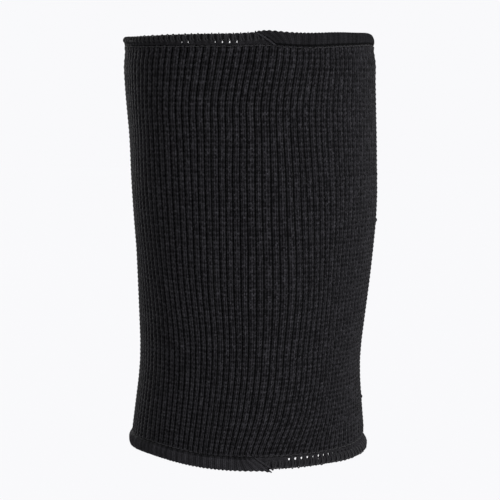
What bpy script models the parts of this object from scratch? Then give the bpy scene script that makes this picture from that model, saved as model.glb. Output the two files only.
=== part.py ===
"""Knitted elbow pad: a ribbed tube with a hem at each end and a foam pad sewn on the elbow side.

Metres, +Z up towards the upper arm, +Y towards the elbow tip (pad side), -Y towards the crook.
Angles round the tube are measured from the crook (-Y) towards +X.
"""

import bmesh
import bpy
import math
import numpy as np

for old in list(bpy.data.objects):
    bpy.data.objects.remove(old, do_unlink=True)

# ---- driving dimensions ----
HEIGHT = 0.180  # lower rim to upper rim
HEM = 0.006  # height of each hem
WALL = 0.0018  # knit thickness
GAP = 0.0003  # clearance between pieces that touch
CENTRE_Y = -0.0105  # centre line of both rims
ELBOW_Z = 0.097  # height of the elbow line
FLEX_LOW = 0.038  # start of the zone that bends
FLEX_HIGH = 0.156  # end of the zone that bends
CROOK_DEPTH = 0.96  # half depth over half width on the crook side
ELBOW_DEPTH = 1.04  # half depth over half width on the pad side
LAP_ANGLE = math.radians(29.0)  # where both hem bands start and finish
BAND_PROUD = 0.0014  # how far a rolled band stands out
BAND_INSIDE = 0.0020  # how far a rolled band reaches in
EYELETS = 32  # open stitches in each overlocked half hem
THREAD = 0.0003  # half thickness of the overlock thread
PAD_Z = 0.097  # middle of the pad
PAD_HALF_ARC = 0.0375  # foam, measured round the tube
PAD_HALF_HEIGHT = 0.0480  # foam
PAD_CURVE = 2.5  # outline between an ellipse (2) and a rectangle
PAD_RADIUS = 0.0560  # tube radius used to wrap the pad
PAD_GAP = 0.0004
SOFT_FOAM = 0.0030
FIRM_FOAM = 0.0055
COVER = 0.0011
AROUND = 64  # facets round the tube

PROFILE = [  # height, half width, how far the centre line stands off the line through both rims
    (0.0000, 0.05225, 0.0000),
    (0.0065, 0.05185, 0.0001),
    (0.0115, 0.05135, 0.0003),
    (0.0180, 0.05070, 0.0007),
    (0.0250, 0.05000, 0.0012),
    (0.0320, 0.04935, 0.0019),
    (0.0395, 0.04915, 0.0028),
    (0.0460, 0.04945, 0.0037),
    (0.0600, 0.05060, 0.0055),
    (0.0740, 0.05175, 0.0071),
    (0.0880, 0.05280, 0.0082),
    (0.1020, 0.05405, 0.0084),
    (0.1160, 0.05465, 0.0079),
    (0.1370, 0.05470, 0.0057),
    (0.1580, 0.05505, 0.0030),
    (0.1680, 0.05490, 0.0016),
    (0.1740, 0.05390, 0.0008),
    (0.1800, 0.05360, 0.0000),
]
PROFILE_Z = [row[0] for row in PROFILE]


def half_width(z):
    """Half width of the tube at height z."""
    return np.interp(z, PROFILE_Z, [row[1] for row in PROFILE])


def centre_line(z):
    """Y of the tube's centre at height z: bowed most at the elbow line."""
    return CENTRE_Y + np.interp(z, PROFILE_Z, [row[2] for row in PROFILE])


def on_tube(angle, z, out):
    """Point at an angle and height, standing out from the knit's outer face."""
    angle, z, out = np.broadcast_arrays(np.asarray(angle, float), np.asarray(z, float), np.asarray(out, float))
    wide = half_width(z)
    front = np.cos(angle) > 0.0
    depth = wide * np.where(front, CROOK_DEPTH, ELBOW_DEPTH)
    x = (wide + out) * np.sin(angle)
    y = centre_line(z) - (depth + out) * np.cos(angle)
    return np.stack([x, y, z], axis=-1)


def add_body(name, points, faces, colour, roughness):
    """One closed body as its own object with its own material."""
    bm = bmesh.new()
    verts = [bm.verts.new([float(v) for v in p]) for p in points]
    for face in faces:
        bm.faces.new([verts[i] for i in face])
    loose = [v for v in bm.verts if not v.link_faces]
    bmesh.ops.delete(bm, geom=loose, context="VERTS")
    bmesh.ops.recalc_face_normals(bm, faces=bm.faces)
    mesh = bpy.data.meshes.new(name)
    bm.to_mesh(mesh)
    bm.free()
    body = bpy.data.objects.new(name, mesh)
    bpy.context.scene.collection.objects.link(body)
    material = bpy.data.materials.new(name)
    material.use_nodes = True
    shader = material.node_tree.nodes["Principled BSDF"]
    shader.inputs["Base Color"].default_value = (*colour, 1.0)
    shader.inputs["Roughness"].default_value = roughness
    mesh.materials.append(material)
    return body


def slab(name, outer, inner, round_closed, keep, colour, roughness=0.9):
    """A wall between two point grids, with the cells marked False in keep left open."""
    rows, columns = outer.shape[:2]
    points = np.concatenate([outer.reshape(-1, 3), inner.reshape(-1, 3)])
    deep = rows * columns
    cells = columns if round_closed else columns - 1

    def index(i, j):
        return i * columns + j % columns

    def filled(i, j):
        if i < 0 or i > rows - 2:
            return False
        if round_closed:
            j = j % cells
        if j < 0 or j > cells - 1:
            return False
        return keep is None or bool(keep[i, j])

    faces = []
    for i in range(rows - 1):
        for j in range(cells):
            if not filled(i, j):
                continue
            a, b = index(i, j), index(i, j + 1)
            c, d = index(i + 1, j + 1), index(i + 1, j)
            faces.append((a, b, c, d))
            faces.append((a + deep, d + deep, c + deep, b + deep))
            sides = [(a, b, i - 1, j), (b, c, i, j + 1), (c, d, i + 1, j), (d, a, i, j - 1)]
            for p, q, ni, nj in sides:
                if not filled(ni, nj):
                    faces.append((q, p, p + deep, q + deep))
    return add_body(name, points, faces, colour, roughness)


def tube(name, low, high, steps, colour):
    """A closed ring of knit from height low to height high."""
    z = np.linspace(low, high, steps + 1)[:, None]
    angle = np.linspace(0.0, 2.0 * np.pi, AROUND, endpoint=False)[None, :]
    return slab(name, on_tube(angle, z, 0.0), on_tube(angle, z, -WALL), True, None, colour)


def swept(name, section, angles, colour, roughness=0.9):
    """A solid of constant section, given as (height, out) pairs, carried round an arc with flat ends."""
    section = np.array(section)
    grid = np.stack([on_tube(a, section[:, 0], section[:, 1]) for a in angles])
    count = len(section)
    faces = []
    for i in range(len(angles) - 1):
        for j in range(count):
            k = (j + 1) % count
            faces.append((i * count + j, i * count + k, (i + 1) * count + k, (i + 1) * count + j))
    faces.append(tuple(range(count)))
    faces.append(tuple((len(angles) - 1) * count + j for j in reversed(range(count))))
    return add_body(name, grid.reshape(-1, 3), faces, colour, roughness)


def thread(name, path, across, half, closed, colour):
    """A square thread along path, kept between the rims; across is the direction one pair of its faces looks in."""
    path = np.asarray(path, float)
    across = np.asarray(across, float)
    if closed:
        before, after = np.roll(path, 1, axis=0), np.roll(path, -1, axis=0)
    else:
        before = np.concatenate([2 * path[:1] - path[1:2], path[:-1]])
        after = np.concatenate([path[1:], 2 * path[-1:] - path[-2:-1]])
    into = path - before
    away = after - path
    into /= np.linalg.norm(into, axis=1)[:, None]
    away /= np.linalg.norm(away, axis=1)[:, None]
    tangent = into + away
    tangent /= np.linalg.norm(tangent, axis=1)[:, None]
    mitre = 1.0 / np.clip(np.sum(tangent * away, axis=1), 0.6, 1.0)
    side = across - np.sum(across * tangent, axis=1)[:, None] * tangent
    side /= np.linalg.norm(side, axis=1)[:, None]
    up = np.cross(tangent, side) * mitre[:, None]
    rings = []
    for s, u in ((1, 1), (-1, 1), (-1, -1), (1, -1)):
        rings.append(path + half * (s * side + u * up))
    points = np.stack(rings, axis=1).reshape(-1, 3)
    points[:, 2] = np.clip(points[:, 2], 0.0, HEIGHT)
    count = len(path)
    faces = []
    for i in range(count if closed else count - 1):
        n = (i + 1) % count
        for j in range(4):
            k = (j + 1) % 4
            faces.append((i * 4 + j, i * 4 + k, n * 4 + k, n * 4 + j))
    if not closed:
        faces.append((0, 1, 2, 3))
        faces.append(tuple((count - 1) * 4 + j for j in (3, 2, 1, 0)))
    return add_body(name, points, faces, colour, 0.8)


def half_ring(start, facets, trim):
    """Angles over half a turn from start, trimmed at each end by a length."""
    cut = trim / 0.052
    return np.linspace(start + cut, start + np.pi - cut, facets + 1)


def rolled_band(name, bottom, top, start, colour):
    """Half a turn of folded band with rounded shoulders and a flat rim."""
    r = 0.0008
    section = [
        (bottom, -BAND_INSIDE + r),
        (bottom, BAND_PROUD - r),
        (bottom + r, BAND_PROUD),
        (top - r, BAND_PROUD),
        (top, BAND_PROUD - r),
        (top, -BAND_INSIDE + r),
        (top - r, -BAND_INSIDE),
        (bottom + r, -BAND_INSIDE),
    ]
    return swept(name, section, half_ring(start, 32, GAP), colour)


def edge_strip(name, rim, inward, start, colour):
    """Half a turn of single-layer edge with a row of open stitches."""
    heights = rim + inward * np.array([0.0009, 0.0021, 0.0038, HEM])
    order = np.argsort(heights)
    cut = 2.0 * GAP / 0.052
    edges = np.linspace(start + cut, start + np.pi - cut, EYELETS + 1)
    pitch = edges[1] - edges[0]
    angles = np.sort(np.concatenate([edges[:1], edges[:-1] + 0.33 * pitch, edges[:-1] + 0.67 * pitch, edges[-1:]]))
    z = heights[order][:, None]
    keep = np.ones((3, len(angles) - 1), bool)
    keep[1, 1::2] = False
    return slab(name, on_tube(angles[None, :], z, 0.0), on_tube(angles[None, :], z, -WALL), False, keep, colour)


def overlock(name, rim, inward, start, colour):
    """Thread that passes through every open stitch and back over the rim."""
    cut = 2.0 * GAP / 0.052
    edges = np.linspace(start + cut, start + np.pi - cut, EYELETS + 1)
    pitch = edges[1] - edges[0]
    eye = rim + inward * 0.00295
    lip = rim + inward * THREAD
    outside = GAP + THREAD
    inside = -WALL - GAP - THREAD
    path, across = [], []
    for k in range(EYELETS):
        a = edges[k] + 0.5 * pitch
        stations = [(a, eye, inside), (a, eye, outside)]
        if k < EYELETS - 1:
            stations += [(a + 0.5 * pitch, lip, outside), (a + 0.5 * pitch, lip, inside)]
        for angle, z, out in stations:
            path.append(on_tube(angle, z, out))
            across.append((math.cos(angle), math.sin(angle), 0.0))
    return thread(name, path, across, THREAD, False, colour)


def hem_stitch(name, z, colour):
    """A needle line right round the tube."""
    angles = np.linspace(0.0, 2.0 * np.pi, AROUND, endpoint=False)
    path = on_tube(angles, z, GAP + 0.00025)
    across = np.stack([np.zeros(AROUND), np.zeros(AROUND), np.ones(AROUND)], axis=1)
    return thread(name, path, across, 0.00025, True, colour)


def hem_lap(name, rim, inward, lean, colour):
    """Folded end of a band, laid over the join at a slant."""
    rise = np.array([0.0002, 0.0022, 0.0042, HEM + 0.0006])
    width = np.linspace(-1.0, 1.0, 5)
    outer, inner = [], []
    for step, r in enumerate(rise):
        middle = LAP_ANGLE + lean * (0.0035 - 0.0025 * step) / 0.052
        angles = middle + width * 0.0034 / 0.052
        puff = 0.0009 * (1.0 - width**2)
        z = np.full(5, rim + inward * r)
        outer.append(on_tube(angles, z, BAND_PROUD + GAP + 0.0008 + puff))
        inner.append(on_tube(angles, z, BAND_PROUD + GAP))
    if inward < 0:
        outer.reverse()
        inner.reverse()
    return slab(name, np.array(outer), np.array(inner), False, None, colour)


def pad_point(share_round, share_up, size, out):
    """Point on the pad: shares of its half arc and half height times size, standing out by out."""
    angle = math.pi + PAD_HALF_ARC * share_round * size / PAD_RADIUS
    return on_tube(angle, PAD_Z + PAD_HALF_HEIGHT * share_up * size, out)


def pad_body(name, sizes, low, high, spokes, colour, roughness=0.9):
    """A dome between two layers of rings; the last ring of each meets in the side wall."""
    turn = np.linspace(0.0, 2.0 * np.pi, spokes, endpoint=False)
    c, s = np.cos(turn), np.sin(turn)
    round_share = np.sign(c) * np.abs(c) ** (2.0 / PAD_CURVE)
    up_share = np.sign(s) * np.abs(s) ** (2.0 / PAD_CURVE)
    points, faces = [], []
    for layer in (high, low):
        points.append(pad_point(0.0, 0.0, 1.0, layer[0])[None, :])
        for size, out in zip(sizes[1:], layer[1:]):
            points.append(pad_point(round_share, up_share, size, out))
    points = np.concatenate(points)
    per_layer = 1 + (len(sizes) - 1) * spokes
    for n in range(2):
        base = n * per_layer
        for j in range(spokes):
            k = (j + 1) % spokes
            faces.append((base, base + 1 + j, base + 1 + k)[:: 1 if n == 0 else -1])
            for i in range(len(sizes) - 2):
                a = base + 1 + i * spokes
                quad = (a + j, a + spokes + j, a + spokes + k, a + k)
                faces.append(quad[:: 1 if n == 0 else -1])
    last = 1 + (len(sizes) - 2) * spokes
    for j in range(spokes):
        k = (j + 1) % spokes
        faces.append((last + j, per_layer + last + j, per_layer + last + k, last + k))
    return add_body(name, points, faces, colour, roughness)


def swell(size):
    """Share of full foam thickness at a share of the pad's size."""
    return np.clip(1.0 - np.asarray(size, float) ** 3, 0.0, 1.0) ** 0.7


KNIT = (0.020, 0.020, 0.022)
HEM_COLOUR = (0.024, 0.024, 0.027)
THREAD_COLOUR = (0.030, 0.030, 0.033)

# ---- the knitted tube, in the three lengths that move apart ----
tube("knit_forearm", HEM + GAP, FLEX_LOW - GAP, 4, KNIT)
tube("knit_elbow", FLEX_LOW, FLEX_HIGH, 14, KNIT)
tube("knit_upper", FLEX_HIGH + GAP, HEIGHT - HEM - GAP, 3, KNIT)

# ---- hems: rolled on one half, overlocked on the other, changing sides from rim to rim ----
rolled_band("lower_rolled_band", 0.0, HEM, LAP_ANGLE + math.pi, HEM_COLOUR)
rolled_band("upper_rolled_band", HEIGHT - HEM, HEIGHT, LAP_ANGLE, HEM_COLOUR)
edge_strip("lower_edge_strip", 0.0, 1.0, LAP_ANGLE, HEM_COLOUR)
edge_strip("upper_edge_strip", HEIGHT, -1.0, LAP_ANGLE + math.pi, HEM_COLOUR)
overlock("lower_overlock_thread", 0.0, 1.0, LAP_ANGLE, THREAD_COLOUR)
overlock("upper_overlock_thread", HEIGHT, -1.0, LAP_ANGLE + math.pi, THREAD_COLOUR)
hem_stitch("lower_hem_stitch", HEM + 0.0012, THREAD_COLOUR)
hem_stitch("upper_hem_stitch", HEIGHT - HEM - 0.0012, THREAD_COLOUR)
hem_lap("lower_hem_lap", 0.0, 1.0, -1.0, HEM_COLOUR)
hem_lap("upper_hem_lap", HEIGHT, -1.0, -1.0, HEM_COLOUR)

tail = [(LAP_ANGLE + 0.085 + 0.02 * k, 0.0012 + 0.0003 * k, 0.0010 + 0.0009 * math.sin(0.8 * k)) for k in range(5)]
tail_path = [on_tube(a, z, out) for a, z, out in tail]
thread("lower_thread_tail", tail_path, [(0.0, 0.0, 1.0)] * 5, 0.0003, False, THREAD_COLOUR)

# ---- the pad: two foams under a sewn cover ----
rings = np.array([0.0, 0.22, 0.44, 0.64, 0.80, 0.92, 1.0])
soft_low = np.full(len(rings), PAD_GAP)
soft_high = soft_low + 0.0010 + (SOFT_FOAM - 0.0010) * swell(rings)
firm_low = soft_high + PAD_GAP
firm_high = firm_low + 0.0010 + (FIRM_FOAM - 0.0010) * swell(rings)
pad_body("pad_foam_inner", rings, soft_low, soft_high, 36, (0.16, 0.16, 0.17))
pad_body("pad_foam_outer", rings, firm_low, firm_high, 36, (0.09, 0.09, 0.10))
cover_rings = np.concatenate([rings, [1.012, 1.065, 1.11, 1.17]])
edge = firm_high[-1] + PAD_GAP
cover_low = np.concatenate([firm_high + PAD_GAP, [edge, PAD_GAP, PAD_GAP, PAD_GAP]])
pad_body("pad_cover", cover_rings, cover_low, cover_low + COVER, 48, (0.018, 0.018, 0.020))

turn = np.linspace(0.0, 2.0 * np.pi, 60, endpoint=False)
c, s = np.cos(turn), np.sin(turn)
seam = pad_point(
    np.sign(c) * np.abs(c) ** (2.0 / PAD_CURVE),
    np.sign(s) * np.abs(s) ** (2.0 / PAD_CURVE),
    1.135,
    PAD_GAP + COVER + GAP + 0.00030,
)
outward = np.stack([np.zeros(60), np.ones(60), np.zeros(60)], axis=1)
outward[:, 0] = seam[:, 0] / PAD_RADIUS
thread("pad_border_stitch", seam, outward, 0.00030, True, THREAD_COLOUR)

# ---- the elbow's axis: everything on the upper arm's end hangs from it ----
hinge = bpy.data.objects.new("elbow_hinge", None)
hinge.location = (0.0, CENTRE_Y, ELBOW_Z)
hinge.empty_display_size = 0.02
bpy.context.scene.collection.objects.link(hinge)
bpy.context.view_layer.update()
for piece in list(bpy.data.objects):
    if piece.name == "knit_upper" or piece.name.startswith("upper_"):
        piece.parent = hinge
        piece.matrix_parent_inverse = hinge.matrix_world.inverted()
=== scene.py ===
"""Knitted elbow pad, the looks: ribbed sleeve, hems, stitching and the sewn foam pad.

Angles go round the sleeve from the crook (-Y) towards +X. "Out" is how far a point stands out from the
knit's outer face. Every shape is a function of two parameters, computed for whole arrays at once.
Lengths are in metres and angles in radians.
"""

import math

import bpy
import numpy as np
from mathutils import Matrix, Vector


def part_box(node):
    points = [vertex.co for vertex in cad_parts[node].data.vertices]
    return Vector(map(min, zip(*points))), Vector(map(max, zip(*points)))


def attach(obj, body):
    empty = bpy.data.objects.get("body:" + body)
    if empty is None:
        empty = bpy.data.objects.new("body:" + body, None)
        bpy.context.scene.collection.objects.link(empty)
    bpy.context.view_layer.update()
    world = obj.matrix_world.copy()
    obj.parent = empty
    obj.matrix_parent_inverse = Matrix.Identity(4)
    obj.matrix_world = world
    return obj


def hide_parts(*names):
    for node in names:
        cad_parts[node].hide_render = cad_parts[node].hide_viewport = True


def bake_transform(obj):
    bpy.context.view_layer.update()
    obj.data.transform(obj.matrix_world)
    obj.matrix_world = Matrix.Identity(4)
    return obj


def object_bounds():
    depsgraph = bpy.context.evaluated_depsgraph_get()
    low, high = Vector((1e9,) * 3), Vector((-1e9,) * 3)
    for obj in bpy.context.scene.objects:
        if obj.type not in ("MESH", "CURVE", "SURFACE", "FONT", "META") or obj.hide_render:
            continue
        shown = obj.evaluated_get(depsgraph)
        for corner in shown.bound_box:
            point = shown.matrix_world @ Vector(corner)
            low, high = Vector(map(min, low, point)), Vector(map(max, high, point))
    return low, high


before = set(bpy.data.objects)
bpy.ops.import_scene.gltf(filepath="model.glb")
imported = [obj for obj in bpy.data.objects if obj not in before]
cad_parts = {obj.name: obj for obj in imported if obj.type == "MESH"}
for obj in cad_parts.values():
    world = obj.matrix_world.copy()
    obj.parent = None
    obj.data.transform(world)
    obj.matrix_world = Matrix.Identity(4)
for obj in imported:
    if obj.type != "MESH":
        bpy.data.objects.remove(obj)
cad_low, cad_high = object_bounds()

TURN = 2.0 * math.pi
UPRIGHT = np.array([0.0, 0.0, 1.0])

# ---- the arm tube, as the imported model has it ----
KNIT_NODES = ("knit_forearm", "knit_elbow", "knit_upper")
CROOK_DEPTH = 0.96  # half depth over half width, crook side
ELBOW_DEPTH = 1.04  # and pad side
LOWER_END, UPPER_END = "forearm_end", "upper_arm_end"
HEIGHT = cad_high.z
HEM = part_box("lower_rolled_band")[1].z
SEAM = HEIGHT - HEM  # height of the upper hem's seam
RIM_RADIUS = 0.0535  # turns a length round a rim into an angle
PROFILE_HEIGHTS = 361  # one every half millimetre

# ---- knit ----
RIBS = 112
SECTORS = 7
RIB_DEPTH = 0.00095
RIB_CROWN = 0.00012  # rise of a rib's middle over its sides, and of a course over the gap after it
GROOVE_FROM, GROOVE_TO = 0.55, 0.88  # shares of half a rib where the groove begins and reaches its floor
KNIT_THICK = 0.0019
COURSE_LOW, COURSE_HIGH = 0.00182, 0.00212  # height of one row of stitches at the lower and upper end
RIB_STEPS = np.array([-0.5, -0.41, -0.33, -0.22, 0.0, 0.22, 0.33, 0.41])
ROWS_PER_COURSE = 3
KNIT_OVERLAP = 0.0008  # how far the knit runs in under each hem
END_TUCK = 0.0008  # how far its ends are drawn in there
SLACK_ROW_Z = 0.1205  # a row of stitches that stands a little proud
SNAGS = ((1.93, 0.1000), (1.90, 0.0218))  # angle and height of two pulled loops

# ---- hems ----
LAP = math.radians(29.0)  # where both rolled bands start
LAP_LEAD = 0.075  # how far a band's rim edge leads its other edge at the slanted end
UNDER_LAP = 1.3 * LAP_LEAD  # how far an open edge runs in under the band at the lap
BAND_STEPS, BAND_SIDES = 900, 28  # points along a rolled band and round its section
BAND_REACH = math.pi + 0.012  # angle that it covers
BAND_HALF_THICK = 0.00172
BAND_SET_IN = 0.00045  # how far the middle of its section lies inside the knit's face
BAND_END = 0.0012  # length over which its ends are rounded off
BAND_SCALLOP = 0.00036
BAND_THREADS = 392  # upright threads in a full turn of band
EYELET_SIDE = 4  # points on each side of an eyelet's cell
EDGE_CELLS = RIBS // 2 + 2  # eyelets along one open edge
EDGE_THICK = 0.0011
EDGE_CLEAR = 0.006  # angle that it leaves free at each end
WINDS = 3  # turns of overlock thread a rib
WOUND_RADIUS = 0.00027
NEEDLE_STITCHES = 150

# How the hems wave round the sleeve: height, middle angle and width of each bump.
UPPER_WAVES = (
    (0.0005, 1.20, 0.28),
    (0.0015, 1.70, 0.33),
    (0.0006, 0.50, 0.14),
    (-0.0003, 0.85, 0.20),
    (0.0011, -1.20, 0.36),
)
LOWER_WAVES = ((0.0021, -0.55, 0.48), (-0.0007, 1.50, 0.34))
SEAM_WAVES = ((0.0020, -1.25, 1.25), (0.0015, 1.75, 0.65))  # where the upper band narrows
WAVE_REACH = 0.022  # how far down or up from a rim its wave dies out


class LowerHem:
    """The hem on the forearm side and what is its own."""

    word, rim, inward, body = "lower", 0.0, 1.0, LOWER_END
    band_turn = -1.0  # which way the rolled band goes round from the lap
    strip_start = LAP  # first angle of the open edge
    tuck = UNDER_LAP  # how far before that it begins, under the band
    tip = -0.0008  # how far the band's first end draws back from the rim; below 0 it stands past it
    seam_shade = 0.35  # painted shade along the band's seam, under its roll
    hole_wide = 0.44  # half width of an eyelet in half cells
    sunk = 0.0003  # how much deeper the needle line lies from the lap towards -X
    # painted light: the lower hem's band and edge are painted lighter than the upper hem's
    band_tone, edge_tone = 1.50, 0.82
    seed = 11


class UpperHem:
    """The hem on the upper arm side and what is its own. Its open edge ends under the band, so none of it
    is tucked at its start."""

    word, rim, inward, body = "upper", HEIGHT, -1.0, UPPER_END
    band_turn = 1.0
    strip_start = LAP + math.pi
    tuck = 0.0
    tip = 0.0003
    seam_shade = 0.80
    hole_wide = 0.24
    sunk = 0.00014
    # painted shade: the upper hem's band and edge are painted darker than the lower hem's
    band_tone, edge_tone = 0.80, 0.62
    seed = 12


# ---------------------------------------------------------------- curves that shapes are made of
def smooth_step(x, low, high):
    """0 below low, 1 above high, and a smooth rise between."""
    t = np.clip((x - low) / (high - low), 0.0, 1.0)
    return t * t * (3.0 - 2.0 * t)


def bell(x, middle, width):
    """1 in the middle, falling off smoothly on both sides over width."""
    return np.exp(-(((x - middle) / width) ** 2))


def angle_from(angle, middle):
    """Signed angle from the middle angle, the short way round."""
    return (angle - middle + math.pi) % TURN - math.pi


def near_angle(angle, middle, width):
    """A bell round the sleeve."""
    return bell(angle_from(angle, middle), 0.0, width)


def waves(angle, bumps):
    """Sum of bells round the sleeve, each given by its height, middle angle and width."""
    return sum(high * near_angle(angle, middle, width) for high, middle, width in bumps)


def tube_profile():
    """Heights, half widths and centre lines of the knit's outer face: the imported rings, eased by a moving
    mean."""
    rings = {}
    for name in KNIT_NODES:
        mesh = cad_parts[name].data
        points = np.empty(len(mesh.vertices) * 3)
        mesh.vertices.foreach_get("co", points)
        points = points.reshape(-1, 3)
        for z in np.unique(points[:, 2].round(5)):
            ring = points[np.abs(points[:, 2] - z) < 2e-5]
            widest = ring[np.argmax(ring[:, 0])]
            rings[float(z)] = (widest[0], widest[1])
    heights = np.array(sorted(rings))
    table = np.array([rings[z] for z in heights])
    fine = np.linspace(0.0, HEIGHT, PROFILE_HEIGHTS)
    window = np.hanning(15)[1:-1]
    smoothed = []
    for column in table.T:
        padded = np.pad(np.interp(fine, heights, column), len(window) // 2, mode="edge")
        smoothed.append(np.convolve(padded, window / window.sum(), "valid"))
    return fine, smoothed[0], smoothed[1]


RING_Z, RING_WIDTH, RING_CENTRE = tube_profile()


def on_tube(angle, z, out):
    """Point at an angle and height, out from the knit: an oval with a shallower half towards the crook."""
    angle, z, out = np.broadcast_arrays(angle, z, out)
    wide = np.interp(z, RING_Z, RING_WIDTH)
    middle = np.interp(z, RING_Z, RING_CENTRE)
    depth = wide * np.where(np.cos(angle) > 0.0, CROOK_DEPTH, ELBOW_DEPTH)
    x = (wide + out) * np.sin(angle)
    y = middle - (depth + out) * np.cos(angle)
    return np.stack([x, y, z], axis=-1)


def rim_wave(angle, z):
    """How far the hems stray from level, up being positive; nothing in the middle of the sleeve."""
    upper = waves(angle, UPPER_WAVES) * smooth_step(z, HEIGHT - WAVE_REACH, HEIGHT)
    lower = waves(angle, LOWER_WAVES) * (1.0 - smooth_step(z, 0.0, WAVE_REACH))
    at_seam = smooth_step(z, SEAM - 0.016, SEAM) * (1.0 - smooth_step(z, SEAM, HEIGHT))
    return upper + lower + waves(angle, SEAM_WAVES) * at_seam


def on_hem(angle, z, out):
    """Point on the tube with the hems' wave added to its height and the sleeve's unevenness to its width.
    At the +X side the lower rim flares under a slight hollow, the knit swells below the upper band and the
    band itself sits in. Above the elbow the sleeve leans from -X towards +X."""
    angle, z = np.broadcast_arrays(angle, z)
    right, left = near_angle(angle, 1.75, 0.50), near_angle(angle, -1.19, 0.60)
    flare = 0.0016 * near_angle(angle, 1.70, 0.52) * (1.0 - smooth_step(z, 0.0004, 0.0048))
    hollow = 0.0006 * right * bell(z, 0.0054, 0.0016)
    shoulder = smooth_step(z, 0.116, 0.142) * (1.0 - smooth_step(z, SEAM - 0.002, SEAM + 0.001))
    lean = 0.0005 * shoulder * (right - left)
    set_in = 0.0005 * right * smooth_step(z, SEAM - 0.001, SEAM + 0.001)
    swelling = 0.0007 * right * bell(z, SEAM - 0.004, 0.006)
    uneven = flare - hollow + lean - set_in + swelling
    return on_tube(angle, z + rim_wave(angle, z), out + uneven)


# ---------------------------------------------------------------- mesh building
def build(name, points, faces, uv=None, values=None):
    """A mesh object from arrays: points (n, 3), faces (m, 4) or (m, 3), and per-point UV and named values.
    A closed shape whose signed volume is negative is turned to face outwards."""
    mesh = bpy.data.meshes.new(name)
    points, faces = np.asarray(points, float), np.asarray(faces, np.int32)
    a, b, c = points[faces[:, 0]], points[faces[:, 1]], points[faces[:, 2]]
    volume = np.sum(a * np.cross(b, c))
    if faces.shape[1] == 4:
        volume += np.sum(a * np.cross(c, points[faces[:, 3]]))
    if volume < 0.0:
        faces = np.ascontiguousarray(faces[:, ::-1])
    mesh.vertices.add(len(points))
    mesh.vertices.foreach_set("co", np.asarray(points, np.float32).ravel())
    mesh.loops.add(faces.size)
    mesh.loops.foreach_set("vertex_index", faces.ravel())
    mesh.polygons.add(len(faces))
    sides = faces.shape[1]
    mesh.polygons.foreach_set("loop_start", np.arange(0, faces.size, sides, dtype=np.int32))
    mesh.update(calc_edges=True)
    mesh.validate()
    if uv is not None:
        layer = mesh.uv_layers.new(name="cloth")
        corner = np.empty(len(mesh.loops), np.int32)
        mesh.loops.foreach_get("vertex_index", corner)
        layer.data.foreach_set("uv", np.asarray(uv, np.float32)[corner].ravel())
    for key, value in (values or {}).items():
        attribute = mesh.attributes.new(key, "FLOAT", "POINT")
        attribute.data.foreach_set("value", np.asarray(value, np.float32).ravel())
    mesh.polygons.foreach_set("use_smooth", np.full(len(mesh.polygons), True))
    piece = bpy.data.objects.new(name, mesh)
    bpy.context.scene.collection.objects.link(piece)
    return piece


def quads(n):
    """Quads between the neighbours of a grid of point numbers."""
    return np.stack([n[:-1, :-1], n[:-1, 1:], n[1:, 1:], n[1:, :-1]], axis=-1).reshape(-1, 4)


def grid(rows, columns):
    """Point numbers of a rows by columns grid."""
    return np.arange(rows * columns).reshape(rows, columns)


def slab_faces(rows, columns):
    """Quads of a closed wall: an outer grid, an inner grid numbered after it, and the four edges."""
    n = grid(rows, columns)
    m = n + rows * columns

    def wall(a, b):
        return np.stack([a[1:], a[:-1], b[:-1], b[1:]], axis=-1)

    faces = [quads(n), quads(m)[:, ::-1], wall(n[0], m[0]), wall(n[-1][::-1], m[-1][::-1])]
    faces += [wall(n[::-1, 0], m[::-1, 0]), wall(n[:, -1], m[:, -1])]
    return np.concatenate(faces)


def slab(name, outer, inner, uv, values=None):
    """A closed wall between two grids of points that share one UV grid and one grid of each value."""
    rows, columns = outer.shape[:2]
    points = np.concatenate([outer.reshape(-1, 3), inner.reshape(-1, 3)])
    both = np.concatenate([uv.reshape(-1, 2)] * 2)
    doubled = {key: np.concatenate([np.ravel(v)] * 2) for key, v in (values or {}).items()}
    return build(name, points, slab_faces(rows, columns), both, doubled)


UV_PER_METRE = 100.0  # the UV along a thread or band runs one unit a centimetre


def ring_stack(name, rings, closed=False, values=None):
    """A closed body through stacked rings of points (count, sides, 3); open ends are closed to a middle
    point."""
    count, sides = rings.shape[:2]
    n = grid(count, sides)
    n = np.concatenate([n, n[:, :1]], axis=1)
    if closed:
        n = np.concatenate([n, n[:1]], axis=0)
    faces = quads(n)
    points = rings.reshape(-1, 3)
    middle = rings.mean(axis=1)
    steps = np.linalg.norm(np.diff(middle, axis=0), axis=1)
    length = np.concatenate([[0.0], np.cumsum(steps)]) * UV_PER_METRE
    uv = np.stack([np.repeat(length, sides), np.tile(np.arange(sides) / sides, count)], axis=-1)
    if not closed:
        points = np.concatenate([points, middle[:1], middle[-1:]])
        uv = np.concatenate([uv, [[0.0, 0.5], [length[-1], 0.5]]])
        values = {key: np.append(np.ravel(value), [0.0, 0.0]) for key, value in (values or {}).items()}
        j = np.arange(sides)
        k = (j + 1) % sides
        first, last = np.full(sides, count * sides), np.full(sides, count * sides + 1)
        end = (count - 1) * sides
        first_cap = np.stack([first, k, j], axis=-1)
        last_cap = np.stack([last, end + j, end + k], axis=-1)
        faces = np.concatenate([faces[:, [0, 1, 2]], faces[:, [0, 2, 3]], first_cap, last_cap])
    return build(name, points, faces, uv, values)


def strand(name, path, across, radius, closed=False, sides=6):
    """A round thread: circles of the given radius carried along path, squared up to the direction
    across."""
    if closed:
        tangent = np.roll(path, -1, axis=0) - np.roll(path, 1, axis=0)
    else:
        tangent = np.gradient(path, axis=0)
    tangent /= np.linalg.norm(tangent, axis=1)[:, None]
    side = across - np.sum(across * tangent, axis=1)[:, None] * tangent
    side /= np.linalg.norm(side, axis=1)[:, None]
    up = np.cross(tangent, side)
    turn = np.linspace(0.0, TURN, sides, endpoint=False)[None, :, None]
    rings = path[:, None, :] + np.asarray(radius, float).reshape(-1, 1, 1) * (
        np.cos(turn) * side[:, None, :] + np.sin(turn) * up[:, None, :]
    )
    return ring_stack(name, rings, closed)


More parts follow.
